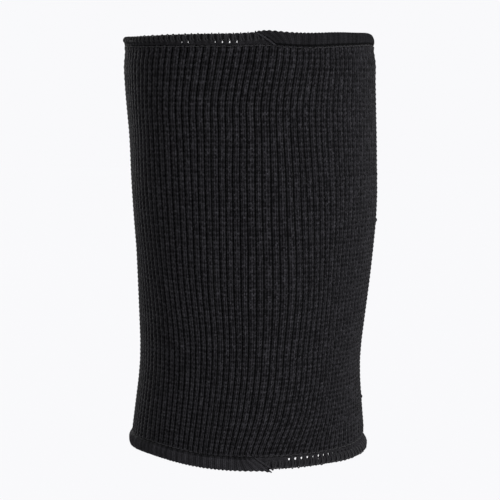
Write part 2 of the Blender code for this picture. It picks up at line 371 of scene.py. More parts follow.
# ---------------------------------------------------------------- the ribbed knit
def course_rows():
    """Heights of the rows of points and their course numbers; a course grows evenly taller from low to
    high."""
    bottom, top = HEM - KNIT_OVERLAP, SEAM + KNIT_OVERLAP
    tall = top - bottom
    growth = (COURSE_HIGH - COURSE_LOW) / tall
    courses = round(math.log(COURSE_HIGH / COURSE_LOW) / growth)
    course = np.arange(courses * ROWS_PER_COURSE + 1) / ROWS_PER_COURSE
    share = np.expm1(course * math.log(COURSE_HIGH / COURSE_LOW) / courses)
    return bottom + tall * share / share[-1], course


ROW_Z, ROW_COURSE = course_rows()
COURSES = float(ROW_COURSE[-1])


def drift(angle, z):
    """How far the ribs have been pulled round the sleeve: a lean at each end, slow bends between, and a
    spread of the ribs on the crook side of the elbow, which grows with the angle from it and dies out."""
    off = angle_from(angle, 0.43)
    mid_height = smooth_step(z, 0.045, 0.075) * (1.0 - smooth_step(z, 0.118, 0.145))
    spread = 0.13 * off * bell(off, 0.0, 0.38) * mid_height
    top = 0.110 * smooth_step(z, 0.146, 0.180) * near_angle(angle, 0.35, 1.10)
    middle = 0.060 * near_angle(angle, 0.08, 0.50)
    right = (0.030 + 0.080 * (1.0 - smooth_step(z, 0.050, 0.122))) * near_angle(angle, 0.80, 0.42)
    left = 0.090 * (1.0 - smooth_step(z, 0.048, 0.092)) * near_angle(angle, -0.50, 0.45)
    foot = -0.150 * (1.0 - smooth_step(z, 0.002, 0.042)) * near_angle(angle, 0.90, 0.70)
    foot = foot - 0.080 * (1.0 - smooth_step(z, 0.0, 0.024)) * near_angle(angle, 0.80, 0.65)
    return top + middle + right + left + foot + spread


def groove_angles():
    """Angle of every groove between ribs at every row: even spacing, a slow wander, and the ribs' drift."""
    random = np.random.default_rng(7)
    knots = np.linspace(ROW_Z[0], ROW_Z[-1], 9)
    wander = random.normal(0.0, 1.0, (RIBS, len(knots)))
    fixed = random.normal(0.0, 1.0, RIBS)
    z = ROW_Z[:, None]
    even = np.arange(RIBS + 1)[None, :] * TURN / RIBS
    slow = np.stack([np.interp(ROW_Z, knots, row) for row in wander], axis=1)
    shift = (0.035 * slow + 0.06 * fixed) * TURN / RIBS
    shift = np.concatenate([shift, shift[:, :1]], axis=1)
    sway = 0.004 * np.sin(2.0 * even + 41.0 * z + 0.7) + 0.0025 * np.sin(5.0 * even - 97.0 * z)
    return even + shift + drift(even, z) + sway


GROOVES = groove_angles()
RUNGS = np.random.default_rng(5).uniform(0.15, 1.0, (int(COURSES) + 2, RIBS))  # firmness of each rung


def knit_relief(rib_phase, course, firm):
    """Rib relief and how deep in the groove a point is, which also gives the groove's painted shade: a
    round crown, and a groove that a rung of thread bridges at each course, more so where the rung is firm."""
    across = np.abs(rib_phase) * 2.0
    groove = smooth_step(across, GROOVE_FROM, GROOVE_TO)
    rung = firm * (0.5 + 0.5 * np.cos(TURN * course)) ** 2
    crown = RIB_CROWN * (1.0 - across**2) + RIB_CROWN * np.cos(TURN * course) * (1.0 - groove)
    depth = RIB_DEPTH * groove * (1.0 - 0.85 * rung)
    return crown - depth, groove * (1.0 - 0.86 * rung)


def sleeve_sector(number):
    """A closed wall of knit, one part of the way round: ribs outside, shallower ribs inside, ends tucked
    in."""
    first = number * RIBS // SECTORS
    ribs = np.arange(first, first + RIBS // SECTORS)
    rib_of = np.append(np.repeat(ribs, len(RIB_STEPS)), ribs[-1])
    phase = np.append(np.tile(RIB_STEPS, len(ribs)), 0.5)
    low, high = GROOVES[:, rib_of], GROOVES[:, rib_of + 1]
    angle = low + (phase[None, :] + 0.5) * (high - low)
    course = ROW_COURSE[:, None]
    beside = np.where(phase < 0.5, rib_of, rib_of + 1) % RIBS
    firm = RUNGS[np.rint(course).astype(int), beside[None, :]]
    relief, groove = knit_relief(phase[None, :], course, firm)
    z = np.broadcast_to(ROW_Z[:, None], angle.shape)
    soft = 0.00022 * np.sin(3.0 * angle + 33.0 * z) + 0.00018 * np.sin(7.0 * angle - 61.0 * z + 1.0)
    raised = 0.00030 * bell(z, SLACK_ROW_Z, 0.0011) * near_angle(angle, 1.15, 0.75)
    for snag_angle, snag_z in SNAGS:
        raised = raised + 0.0008 * bell(z, snag_z, 0.0009) * near_angle(angle, snag_angle, 0.02)
    low_end, high_end = ROW_Z[0], ROW_Z[-1]
    clear = smooth_step(z, low_end, low_end + 0.0012) * (1.0 - smooth_step(z, high_end - 0.0012, high_end))
    outer = on_hem(angle, z, relief + soft + raised - END_TUCK * (1.0 - clear))
    inner = on_hem(angle, z, soft - KNIT_THICK - 0.0004 * groove)
    u = np.broadcast_to((rib_of + phase + 0.5) / RIBS, angle.shape)
    v = np.broadcast_to(course / COURSES, angle.shape)
    # painted shade: how far each point is painted towards black in the grooves
    shade = np.broadcast_to(groove, angle.shape)
    return slab(f"sleeve_knit_{number + 1}", outer, inner, np.stack([u, v], axis=-1), {"groove": shade})


# ---------------------------------------------------------------- hems
def rounded_end(length):
    """Share of full thickness at a length from a band's end: a quarter circle, never quite to nothing."""
    short = 1.0 - np.clip(length / BAND_END, 0.0, 1.0)
    return np.sqrt(np.clip(1.0 - short**2, 0.10, 1.0))


def rolled_band(hem):
    """Half a turn of folded hem: an upright rounded oblong section carried round the rim, with fine upright
    threads, ribs and rim scallops. It starts on a slant at the lap and thins at both ends."""
    step = np.linspace(0.0, 1.0, BAND_STEPS)
    arc = BAND_REACH * step * RIM_RADIUS
    full = (rounded_end(arc) * rounded_end(arc[::-1]))[:, None]
    turn = np.linspace(0.0, TURN, BAND_SIDES, endpoint=False)
    c, s = np.cos(turn)[None, :], np.sin(turn)[None, :]
    flat_c = np.sign(c) * np.abs(c) ** 0.72
    flat_s = np.sign(s) * np.abs(s) ** 0.80
    a = (LAP + hem.band_turn * (0.004 + BAND_REACH * step))[:, None]
    lead = -flat_s * hem.inward * (1.0 - smooth_step(arc, 0.0, 0.014))[:, None]
    angles = a - hem.band_turn * LAP_LEAD * lead
    line = (0.5 + 0.5 * np.cos(a * BAND_THREADS)) ** 2
    ripple = 0.00010 * np.sin(a * 61.0 + 0.5) + 0.00008 * np.sin(a * 37.0)
    rib = 0.5 + 0.5 * np.cos(a * RIBS)
    half_thick = full * (BAND_HALF_THICK - 0.00022 * line - 0.00012 * rib + ripple)
    out = flat_c * half_thick - BAND_SET_IN
    drawn = hem.tip * (1.0 - smooth_step(arc, 0.0, 0.004))[:, None]
    scallop = BAND_SCALLOP * (0.5 + 0.5 * np.cos(a * BAND_THREADS / 2.0)) + drawn
    up = flat_s * (HEM / 2.0 * (0.90 + 0.10 * full) - scallop * (flat_s * hem.inward < 0.0))
    uneven = 0.5 + 0.5 * np.sin(a * 23.0 + 9.0 * step[:, None])
    seam_side = smooth_step(flat_s * hem.inward, 0.66, 0.84)
    # painted shade in the dips between the band's threads and ribs and along its seam, with some uneven
    # tone
    between = 0.40 * line + 0.34 * rib + 0.14 * uneven + hem.seam_shade * seam_side
    rings = on_hem(angles, hem.rim + hem.inward * HEM / 2.0 + up, out)
    return ring_stack(f"{hem.word}_rolled_hem", rings, values={"groove": between})


def strip_span(hem):
    """First angle of an open edge and the angle that it covers: half a turn, and a little more under the
    band at the lap."""
    return hem.strip_start + EDGE_CLEAR - hem.tuck, math.pi - 2.0 * EDGE_CLEAR + UNDER_LAP


def square_outline():
    """Points round a square from -1 to 1, EYELET_SIDE of them to a side."""
    t = np.arange(EYELET_SIDE) / EYELET_SIDE * 2.0 - 1.0
    one = np.ones(EYELET_SIDE)
    return np.concatenate([t, one, -t, -one]), np.concatenate([-one, t, one, -t])


def eyelet_sizes(hem):
    """How far each eyelet is open: all alike on the lower hem, pulled open in waves of six on the upper
    one, and drawn shut where the band laps over."""
    random = np.random.default_rng(hem.seed)
    lower = hem.inward > 0.0
    from_lap = np.arange(EDGE_CELLS) if lower else np.arange(EDGE_CELLS)[::-1]
    pulled = 0.44 + 0.34 * np.cos(TURN * (from_lap - 6.5) / 6.0)
    size = np.clip((0.86 if lower else pulled) + random.normal(0.0, 0.12, EDGE_CELLS), 0.15, 1.15)
    return np.where(from_lap < 5, 0.06, size)


def eyelet_strip(hem):
    """A single-layer edge, one cell a rib: rings of points from a teardrop hole out to the cell's square.
    A hole is wide at the seam and narrows towards the rim."""
    cells = EDGE_CELLS
    sx, sy = square_outline()
    turn = np.arctan2(sy, sx)
    hole_x = hem.hole_wide * np.cos(turn) * (1.0 + 0.75 * np.sin(turn))
    hole_y = np.where(np.sin(turn) > 0.0, 0.22, 0.95) * np.sin(turn)
    blend = np.array([0.0, 0.12, 0.5, 1.0])[None, :, None]
    grow = eyelet_sizes(hem)[:, None, None]
    x = (hole_x * grow) * (1.0 - blend) + sx * blend
    y = (0.50 + hole_y * grow) * (1.0 - blend) + sy * blend
    first, span = strip_span(hem)
    pitch = span / cells
    angle = first + pitch * (np.arange(cells) + 0.5)[:, None, None] + x * pitch / 2.0
    bottom, top = 0.0012, HEM - 0.0001
    inset = (bottom + top) / 2.0 + y * (top - bottom) / 2.0
    inset = inset - 0.0005 * (1.0 - x**2) * np.clip(-y, 0.0, 1.0) ** 3
    z = hem.rim + hem.inward * inset
    bulge = -0.00030 * np.cos(math.pi * x) * np.clip(1.0 - 0.6 * y**2, 0.0, 1.0)
    lip = 0.0005 * np.clip(-y, 0.0, 1.0) ** 4
    outer = on_hem(angle, z, bulge - lip)
    inner = on_hem(angle, z, lip - bulge - EDGE_THICK)

    index = np.arange(x.size).reshape(x.shape)
    after = np.roll(index, -1, axis=2)
    under = x.size
    face = [index[:, :-1], after[:, :-1], after[:, 1:], index[:, 1:]]
    face = np.stack(face, axis=-1).reshape(-1, 4)
    edge, edge_after = index[:, -1], after[:, -1]
    side = [slice(EYELET_SIDE * i, EYELET_SIDE * (i + 1)) for i in range(4)]
    every, first_cell, last_cell = slice(None), slice(1), slice(-1, None)
    rims = [(after[:, 0], index[:, 0])]
    for cell, part in ((every, side[0]), (every, side[2]), (last_cell, side[1]), (first_cell, side[3])):
        rims.append((edge[cell, part], edge_after[cell, part]))
    walls = [np.stack([a, b, b + under, a + under], axis=-1).reshape(-1, 4) for a, b in rims]
    faces = np.concatenate([face, face[:, ::-1] + under] + walls)
    points = np.concatenate([outer.reshape(-1, 3), inner.reshape(-1, 3)])
    uv = np.tile(np.stack([angle.ravel() / TURN, inset.ravel() / HEM], axis=-1), (2, 1))
    rounded = (points * 1e6).round().astype(np.int64)
    _, keep, new = np.unique(rounded, axis=0, return_index=True, return_inverse=True)
    return build(f"{hem.word}_open_edge", points[keep], new.reshape(-1)[faces], uv[keep])


def overlock(hem):
    """Thread wound over the rim, its turns bunched between the eyelets: a helix round the edge."""
    turns = EDGE_CELLS * WINDS
    t = np.linspace(0.0, turns, turns * 12 + 1)
    cell = t / WINDS
    bunched = cell - (0.95 * np.sin(TURN * cell) - 0.25 * np.sin(2.0 * TURN * cell)) / TURN
    first, span = strip_span(hem)
    angle = first + span * np.clip(bunched, 0.05, EDGE_CELLS - 0.05) / EDGE_CELLS
    random = np.random.default_rng(3)
    loose = np.interp(t, np.arange(turns + 1), random.normal(0.0, 1.0, turns + 1))
    scallop = 0.00042 * np.cos(TURN * cell)
    inset = 0.00275 - (0.00165 + scallop + 0.00010 * loose) * np.cos(TURN * t)
    out = -0.0006 + (0.00110 + 0.00008 * loose) * np.sin(TURN * t)
    path = on_hem(angle, hem.rim + hem.inward * inset, out)
    across = np.stack([np.cos(angle), np.sin(angle), np.zeros_like(angle)], axis=-1)
    return strand(f"{hem.word}_overlock", path, across, WOUND_RADIUS)


def needle_line(hem):
    """A row of stitches right round, just past the hem: the thread rises over each stitch and dips into the
    knit between. It lies deeper on the half that starts at the lap and goes towards -X."""
    t = np.linspace(0.0, NEEDLE_STITCHES, NEEDLE_STITCHES * 8, endpoint=False)
    hump = np.abs(np.sin(math.pi * t))
    angle = TURN * t / NEEDLE_STITCHES
    z = hem.rim + hem.inward * (HEM + 0.0005)
    height = z + 0.00012 * np.sin(math.pi * t) ** 3 + 0.0001 * np.sin(5.0 * angle)
    deep = hem.sunk * smooth_step(-np.sin(angle - LAP), -0.05, 0.05)
    path = on_hem(angle, height, -0.0002 + 0.00046 * hump**0.7 - deep)
    return strand(f"{hem.word}_needle_line", path, UPRIGHT, 0.00013 + 0.00007 * hump, closed=True)


def hem_lap(hem):
    """The folded end of a band: a slim roll down its slanted edge, thinning at both ends."""
    t = np.linspace(0.0, 1.0, 72)
    angle = LAP - hem.band_turn * LAP_LEAD * (1.0 - 2.0 * t)
    inset = 0.0009 + (HEM - 0.0007) * t
    taper = np.sqrt(np.clip(1.0 - (2.0 * t - 1.0) ** 6, 0.03, 1.0))[:, None]
    turn = np.linspace(0.0, TURN, 20, endpoint=False)[None, :]
    side = np.cos(turn) * 0.00042 * taper
    rise = np.sin(turn) * 0.00034 * taper
    twist = 0.00009 * np.cos(turn * 3.0 + t[:, None] * 40.0)
    angles = angle[:, None] + hem.band_turn * side * 0.62 / RIM_RADIUS
    z = np.clip(hem.rim + hem.inward * (inset[:, None] - side * 0.78), 0.0002, HEIGHT - 0.0002)
    base = 0.0003 + 0.00055 * np.sin(math.pi * t)
    return ring_stack(f"{hem.word}_lap", on_hem(angles, z, base[:, None] + rise + twist))


def thread_tail(name):
    """A loose thread end: a short curl lying out from the lower lap."""
    t = np.linspace(0.0, 1.0, 24)
    angle = LAP + (0.0030 + 0.0042 * t) / RIM_RADIUS
    z = 0.0012 + 0.0014 * t + 0.0006 * np.sin(5.0 * t)
    out = 0.0012 + 0.0013 * np.sin(2.6 * t)
    return strand(name, on_tube(angle, z, out), UPRIGHT, 0.00026 * (1.0 - 0.4 * t))


# ---------------------------------------------------------------- the pad
pad_low, pad_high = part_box("pad_foam_outer")
PAD_Z = (pad_low.z + pad_high.z) / 2.0
PAD_HALF_HEIGHT = (pad_high.z - pad_low.z) / 2.0
PAD_HALF_ARC = 0.0375
PAD_CURVE = 2.5  # outline between an ellipse (2) and a rectangle
PAD_RADIUS = 0.0560
PAD_GAP = 0.0004  # between the pad's layers
FOAM_EDGE = 0.0010  # thickness of each foam at its edge
SOFT_FOAM, FIRM_FOAM, COVER = 0.0030, 0.0055, 0.0011  # full thicknesses
COVER_GAP = 0.0003  # extra room between the cover and the foam
FLANGE = 1.17  # the cover's size over the foam's
CHANNELS = (-0.52, 0.0, 0.52)  # heights of the sewn flex channels, in half heights
CHANNEL_DIP = 0.0034  # how deep a channel presses the full foam
CHANNEL_STITCHES = 30
BORDER_ROWS = ((1.090, 96), (1.140, 100))  # size over the foam's and stitches of each row round the flange


def swell(size):
    """Share of full foam thickness at a share of the pad's size."""
    return np.clip(1.0 - np.clip(size, 0.0, 1.0) ** 3, 0.0, 1.0) ** 0.7


def soft_bottom(size):
    """Lower face of the soft foam: just clear of the knit."""
    return np.full_like(size, PAD_GAP)


def soft_top(size):
    """Upper face of the soft foam."""
    return PAD_GAP + FOAM_EDGE + (SOFT_FOAM - FOAM_EDGE) * swell(size)


def firm_bottom(size):
    """Lower face of the firm foam: just clear of the soft one."""
    return soft_top(size) + PAD_GAP


def firm_top(size):
    """Upper face of the firm foam, before the channels press it."""
    return firm_bottom(size) + FOAM_EDGE + (FIRM_FOAM - FOAM_EDGE) * swell(size)


def pad_grid(across, up, scale):
    """Shares of the pad's half arc and half height on a grid, and the size from the middle: a square
    pressed into the pad's rounded outline."""
    a, b = np.meshgrid(np.linspace(-1.0, 1.0, across), np.linspace(-1.0, 1.0, up))
    a, b = np.sin(a * math.pi / 2.0) * 0.35 + a * 0.65, np.sin(b * math.pi / 2.0) * 0.35 + b * 0.65
    x, y = a * np.sqrt(1.0 - b * b / 2.0), b * np.sqrt(1.0 - a * a / 2.0)
    turn = np.arctan2(y, x)
    reach = (np.abs(np.cos(turn)) ** PAD_CURVE + np.abs(np.sin(turn)) ** PAD_CURVE) ** (-1.0 / PAD_CURVE)
    return x * reach * scale, y * reach * scale, np.hypot(x, y) * scale


def on_pad(share_round, share_up, out):
    """Point on the pad from its shares of half arc and half height, wrapped round the back of the
    sleeve."""
    angle = math.pi - PAD_HALF_ARC * share_round / PAD_RADIUS
    return on_tube(angle, PAD_Z + PAD_HALF_HEIGHT * share_up, out)


def pad_uv(share_round, share_up):
    """The pad's cloth UV, ten units a metre."""
    return np.stack([share_round * PAD_HALF_ARC, share_up * PAD_HALF_HEIGHT], axis=-1) * 10.0


def channel_bend(share_round, height):
    """Where a channel runs: bowed slightly, more so away from the pad's middle."""
    return height + 0.10 * height * (1.0 - share_round**2)


def channel_depth(share_round, share_up):
    """1 in the middle of a sewn channel, 0 away from it."""
    return np.max([bell(share_up, channel_bend(share_round, h), 0.040) for h in CHANNELS], axis=0)


def channel_dip(share_round, share_up, size):
    """How far a sewn channel presses the cover and the firm foam down."""
    return CHANNEL_DIP * channel_depth(share_round, share_up) * swell(size * 0.97)


def gathers(share_round, share_up, size):
    """Small puckers of the cloth: waves round the border seam and waves along each channel, both sides."""
    turn = np.arctan2(share_up, share_round)
    border = np.sin(44.0 * turn + 2.0 * np.sin(3.0 * turn)) * bell(size, 0.955, 0.060)
    along = np.sin(45.0 * share_round + 1.5 * np.sin(6.0 * share_round))
    away = [np.abs(share_up - channel_bend(share_round, h)) for h in CHANNELS]
    beside = np.max([bell(gap, 0.085, 0.045) for gap in away], axis=0)
    return 0.00030 * border + 0.00022 * along * beside * swell(size)


def cover_out(share_round, share_up, size):
    """Outer face of the cover: over the foam, pulled down in the channels, then down to a flat flange."""
    over = firm_top(size) + PAD_GAP + COVER + COVER_GAP
    over = over - channel_dip(share_round, share_up, size) + gathers(share_round, share_up, size)
    down = smooth_step(size, 1.005, 1.055)
    rounded = 0.0005 * smooth_step(size, FLANGE - 0.015, FLANGE)
    return over * (1.0 - down) + (PAD_GAP + COVER) * down - rounded


def foam(name, low, high, pressed):
    """A slab of foam between two faces, each a function of size; pressed is the share of the channels' dip
    that its upper face takes."""
    x, y, size = pad_grid(60, 120, 1.0)
    top = high(size) - pressed * channel_dip(x, y, size)
    return slab(name, on_pad(x, y, top), on_pad(x, y, low(size)), pad_uv(x, y))


CLOTH_SETTINGS = {
    "quality": 6,
    "mass": 0.15,
    "tension_stiffness": 12.0,
    "compression_stiffness": 12.0,
    "shear_stiffness": 6.0,
    "bending_stiffness": 0.4,
    "shrink_min": -0.03,
    "use_pressure": True,
    "uniform_pressure_force": 4.0,
    "vertex_group_mass": "sewn",
}
CLOTH_FRAMES = 20
MOST_PUFF = 0.0022  # no point moves further than this
SIDEWAYS_SHARE = 0.4  # share of its sideways movement that the cover keeps


def puffed(points, pinned, cells):
    """Cloth blown up gently between its sewn lines, as stuffing would: returns the settled points."""
    cloth = build("cloth_trial", points, cells)
    group = cloth.vertex_groups.new(name="sewn")
    group.add(np.flatnonzero(pinned).tolist(), 1.0, "REPLACE")
    scene = bpy.context.scene
    work = cloth.modifiers.new("cloth", "CLOTH")
    for key, value in CLOTH_SETTINGS.items():
        setattr(work.settings, key, value)
    work.settings.effector_weights.gravity = 0.0
    work.collision_settings.use_collision = False
    work.point_cache.frame_start, work.point_cache.frame_end = 1, CLOTH_FRAMES
    for number in range(1, CLOTH_FRAMES + 1):
        scene.frame_set(number)
    settled = cloth.evaluated_get(bpy.context.evaluated_depsgraph_get())
    moved = np.empty(len(points) * 3)
    settled.data.vertices.foreach_get("co", moved)
    scene.frame_set(1)
    bpy.data.objects.remove(cloth, do_unlink=True)
    step = moved.reshape(-1, 3) - points
    size = np.linalg.norm(step, axis=1)[:, None]
    return points + step * np.minimum(1.0, MOST_PUFF / np.maximum(size, 1e-9))


def pad_cover(name):
    """The sewn cover: a grid laid over the foam, puffed by cloth simulation between border and channels. It
    keeps the outward and part of the sideways movement, and none inwards, so that it can't sink into the
    foam."""
    across, up = 96, 124
    x, y, size = pad_grid(across, up, FLANGE)
    points = on_pad(x, y, cover_out(x, y, size))
    inward = on_pad(x, y, 0.0) - on_pad(x, y, 0.001)
    inward /= np.linalg.norm(inward, axis=-1)[..., None]
    held = (size > 0.99) | (channel_depth(x, y) > 0.80)
    settled = puffed(points.reshape(-1, 3), held.ravel(), quads(grid(up, across))).reshape(points.shape)
    sunk = np.sum((settled - points) * inward, axis=-1)[..., None]
    sideways = settled - points - sunk * inward
    points = points + SIDEWAYS_SHARE * sideways + np.minimum(sunk, 0.0) * inward
    sewn = np.clip(channel_depth(x, y) + smooth_step(size, 1.0, 1.05), 0.0, 1.0)
    return slab(name, points, points + inward * COVER, pad_uv(x, y), {"groove": sewn})


def sewn_row(name, x, y, surface, t, closed=False):
    """A row of stitches on the pad: thread that rises over each stitch and dips into the cloth between."""
    hump = np.abs(np.sin(math.pi * t))
    path = on_pad(x, y, surface - 0.0003 + 0.00062 * hump**0.7)
    away = on_pad(x, y, 0.01) - on_pad(x, y, 0.0)
    return strand(name, path, away, 0.00014 + 0.00010 * hump, closed=closed)


def pad_stitching(name, size, stitches):
    """A closed row of stitches round the pad's flange."""
    t = np.linspace(0.0, stitches, stitches * 6, endpoint=False)
    turn = TURN * t / stitches
    c, s = np.cos(turn), np.sin(turn)
    x = np.sign(c) * np.abs(c) ** (2.0 / PAD_CURVE) * size
    y = np.sign(s) * np.abs(s) ** (2.0 / PAD_CURVE) * size
    return sewn_row(name, x, y, PAD_GAP + COVER, t, closed=True)


def channel_stitching(name, height):
    """A row of stitches along one flex channel."""
    t = np.linspace(0.0, CHANNEL_STITCHES, CHANNEL_STITCHES * 6 + 1)
    share = (t / CHANNEL_STITCHES * 2.0 - 1.0) * 0.90
    x = share * (1.0 - abs(height) ** PAD_CURVE) ** (1.0 / PAD_CURVE)
    y = channel_bend(x, height)
    reach = (np.abs(x) ** PAD_CURVE + np.abs(y) ** PAD_CURVE) ** (1.0 / PAD_CURVE)
    return sewn_row(name, x, y, cover_out(x, y, reach), t)


# ---------------------------------------------------------------- materials
class Value:
    """A number socket of a material; arithmetic on it adds Math nodes."""

    def __init__(self, finish, socket):
        self.finish, self.socket = finish, socket

    def math(self, operation, *others):
        """A Math node on this value and the others."""
        sockets = {i + 1: other for i, other in enumerate(others)}
        return self.finish.add("ShaderNodeMath", {"operation": operation}, {0: self, **sockets})

    def __add__(self, other):
        return self.math("ADD", other)

    def __mul__(self, other):
        return self.math("MULTIPLY", other)

    def __sub__(self, other):
        return self.math("SUBTRACT", other)

    def __rsub__(self, other):
        return (self * -1.0) + other

    def __pow__(self, other):
        return self.math("POWER", other)

    def __abs__(self):
        return self.math("ABSOLUTE")

    __radd__ = __add__
    __rmul__ = __mul__

    def fraction(self):
        """What is left over the whole number."""
        return self.math("FRACT")

    def wave(self, kind="SINE"):
        """A sine or cosine of this angle, from 0 to 1."""
        return self.math(kind) * 0.5 + 0.5

    def held(self):
        """This value held between 0 and 1."""
        return self.math("MINIMUM", 1.0).math("MAXIMUM", 0.0)


class Finish:
    """One material with a Principled shader."""

    def __init__(self, name, roughness, sheen, specular=0.025):
        self.material = bpy.data.materials.new(name)
        self.material.use_nodes = True
        self.tree = self.material.node_tree
        self.shader = self.tree.nodes["Principled BSDF"]
        self.shader.inputs["Roughness"].default_value = roughness
        self.shader.inputs["Sheen Weight"].default_value = sheen
        self.shader.inputs["Sheen Roughness"].default_value = 0.5
        self.shader.inputs["Specular IOR Level"].default_value = specular

    def add(self, kind, settings=None, sockets=None, output=0):
        """Any node: its settings first, then its sockets' values or links; gives one output."""
        node = self.tree.nodes.new(kind)
        for key, value in (settings or {}).items():
            setattr(node, key, value)
        for key, value in (sockets or {}).items():
            socket = node.inputs[key]
            if isinstance(value, Value):
                self.tree.links.new(value.socket, socket)
            else:
                socket.default_value = value
        return Value(self, node.outputs[output])

    def attribute(self, name):
        """A per-point value stored on the piece."""
        return self.add("ShaderNodeAttribute", {"attribute_name": name}, output="Fac")

    def cloth_uv(self):
        """The piece's own UV as two values."""
        uv = self.add("ShaderNodeUVMap", {"uv_map": "cloth"})
        parts = self.add("ShaderNodeSeparateXYZ", None, {0: uv})
        return parts, Value(self, parts.socket.node.outputs[1])

    def at(self, u, v):
        """A vector from two values."""
        return self.add("ShaderNodeCombineXYZ", None, {0: u, 1: v})

    def noise(self, vector, scale, detail, roughness):
        """Cloudy noise from 0 to 1."""
        sockets = {"Vector": vector, "Scale": scale, "Detail": detail, "Roughness": roughness}
        return self.add("ShaderNodeTexNoise", {"noise_dimensions": "3D"}, sockets)

    def cell(self, u, v):
        """A random value from 0 to 1 for each whole-number cell."""
        where = self.at(u.math("FLOOR"), v.math("FLOOR"))
        return self.add("ShaderNodeTexWhiteNoise", {"noise_dimensions": "2D"}, {"Vector": where})

    def place(self):
        """Object coordinates."""
        return self.add("ShaderNodeTexCoord", output="Object")

    def blend(self, share, first, second):
        """A colour between two colours."""
        sockets = {0: share, 6: first, 7: second}
        return self.add("ShaderNodeMix", {"data_type": "RGBA"}, sockets, output=2)

    def colour(self, value):
        """Links the base colour."""
        self.tree.links.new(value.socket, self.shader.inputs["Base Color"])

    def raised(self, height, strength, distance):
        """Links a bump from a height."""
        sockets = {"Height": height, "Strength": strength, "Distance": distance}
        bump = self.add("ShaderNodeBump", None, sockets)
        self.tree.links.new(bump.socket, self.shader.inputs["Normal"])


# BLACK: the painted shade in the grooves of the knit and the rolled hems, and the darkening along the pad
# cover's seams
BLACK = (0.0008, 0.0008, 0.0010, 1.0)
KNIT_DARK, KNIT_LIGHT = (0.0012, 0.0011, 0.0014, 1.0), (0.0192, 0.0186, 0.0213, 1.0)
HEM_DARK, HEM_LIGHT = (0.0042, 0.0040, 0.0045, 1.0), (0.0205, 0.0200, 0.0226, 1.0)
WOUND_DARK, WOUND_LIGHT = (0.0035, 0.0034, 0.0038, 1.0), (0.0170, 0.0166, 0.0186, 1.0)
SEWN_DARK, SEWN_LIGHT = (0.0070, 0.0068, 0.0076, 1.0), (0.0225, 0.0220, 0.0240, 1.0)
CLOTH_DARK, CLOTH_LIGHT = (0.0030, 0.0030, 0.0035, 1.0), (0.0190, 0.0188, 0.0208, 1.0)
LAP_TONE = 1.3


def toned(colour, tone):
    """A colour made lighter or darker by tone."""
    return tuple(c * tone for c in colour[:3]) + (1.0,)


def knit_finish():
    """Elastic rib knit: strands up each rib, stitches of uneven tone with a few painted glints, a dark line
    between courses, and painted black shade in the grooves."""
    f = Finish("rib_knit", 0.85, 0.02)
    across, along = f.cloth_uv()
    rib = across * float(RIBS)
    course = along * COURSES
    off = abs(rib.fraction() - 0.5) * 2.0
    between = ((course + off * 0.35) * TURN).wave("COSINE")
    strands = ((rib + 0.5) * (3.0 * TURN)).wave("COSINE") ** 0.7
    stitch = f.cell(rib * 3.0 + 0.5, course)
    fibre = f.noise(f.at(rib * 6.0, course * 2.0), 1.0, 3.0, 0.65)
    mottle = f.noise(f.at(rib * 0.35, course * 0.30), 1.0, 2.0, 0.5)
    # painted glints: a few single stitches made much lighter
    painted_glint = f.cell(rib * 6.0 + 0.5, course * 3.0 + 0.3) ** 7.0
    light = between * 0.26 + strands * 0.56 + stitch * 0.30 + fibre * 1.35
    light = (light + mottle * 0.24 + painted_glint * 0.75 - 1.19).held()
    yarn = f.blend(light, KNIT_DARK, KNIT_LIGHT)
    # painted shade: the yarn is painted black in the grooves, less where a rung bridges them
    f.colour(f.blend(f.attribute("groove"), yarn, BLACK))
    f.raised(between * 0.4 + fibre * 0.6 + strands * 0.5, 0.9, 0.0003)
    return f.material


def hem_finish(name, tone):
    """Fine speckled yarn of a hem, lighter or darker by tone, with painted black shade in the piece's
    grooves. The bands' and edges' tones are painted light, lighter on the lower hem and darker on the
    upper.
    """
    f = Finish(name, 0.85, 0.008)
    across, along = f.cloth_uv()
    place = f.place()
    fibre = f.noise(f.at(across * 6.0, along * 6.0), 8.0, 4.0, 0.6)
    speck = f.noise(place, 2600.0, 2.0, 0.6)
    patch = f.noise(place, 180.0, 2.0, 0.5)
    light = (fibre * 1.10 + speck * 1.90 + patch * 0.50 - 1.36).held()
    yarn = f.blend(light, toned(HEM_DARK, tone), toned(HEM_LIGHT, tone))
    # painted shade: black where the piece stores it, in the rolled band's dips and along its seam
    f.colour(f.blend(f.attribute("groove"), yarn, BLACK))
    f.raised(speck * 0.6 + fibre * 0.4, 0.6, 0.0003)
    return f.material


def thread_finish(name, dark, light):
    """Spun thread: two plies twisted round each other, with a little fuzz."""
    f = Finish(name, 0.7, 0.05)
    along, around = f.cloth_uv()
    twist = ((along * 95.0 + around) * TURN).wave()
    fuzz = f.noise(f.place(), 3200.0, 2.0, 0.6)
    f.colour(f.blend(twist * 0.6 + fuzz * 0.4, dark, light))
    f.raised(twist * 0.7 + fuzz * 0.3, 0.6, 0.0001)
    return f.material


def cover_finish():
    """The pad's tight cloth, a plain weave with a faint twill, darker along its seams."""
    f = Finish("pad_cloth", 0.8, 0.05)
    across, up = f.cloth_uv()
    twill = ((across + up * 0.7) * 520.0).wave()
    weave = ((across * 620.0).math("SINE") * (up * 620.0).math("SINE")) * 0.5 + 0.5
    fuzz = f.noise(f.place(), 1500.0, 3.0, 0.6)
    patch = f.noise(f.place(), 60.0, 2.0, 0.5)
    light = (weave * 0.45 + twill * 0.35 + fuzz * 0.75 + patch * 0.30 - 0.45).held()
    woven = f.blend(light, CLOTH_DARK, CLOTH_LIGHT)
    f.colour(f.blend(f.attribute("groove") * 0.45, woven, BLACK))
    f.raised(weave * 0.4 + twill * 0.4 + fuzz * 0.3, 0.8, 0.0003)
    return f.material


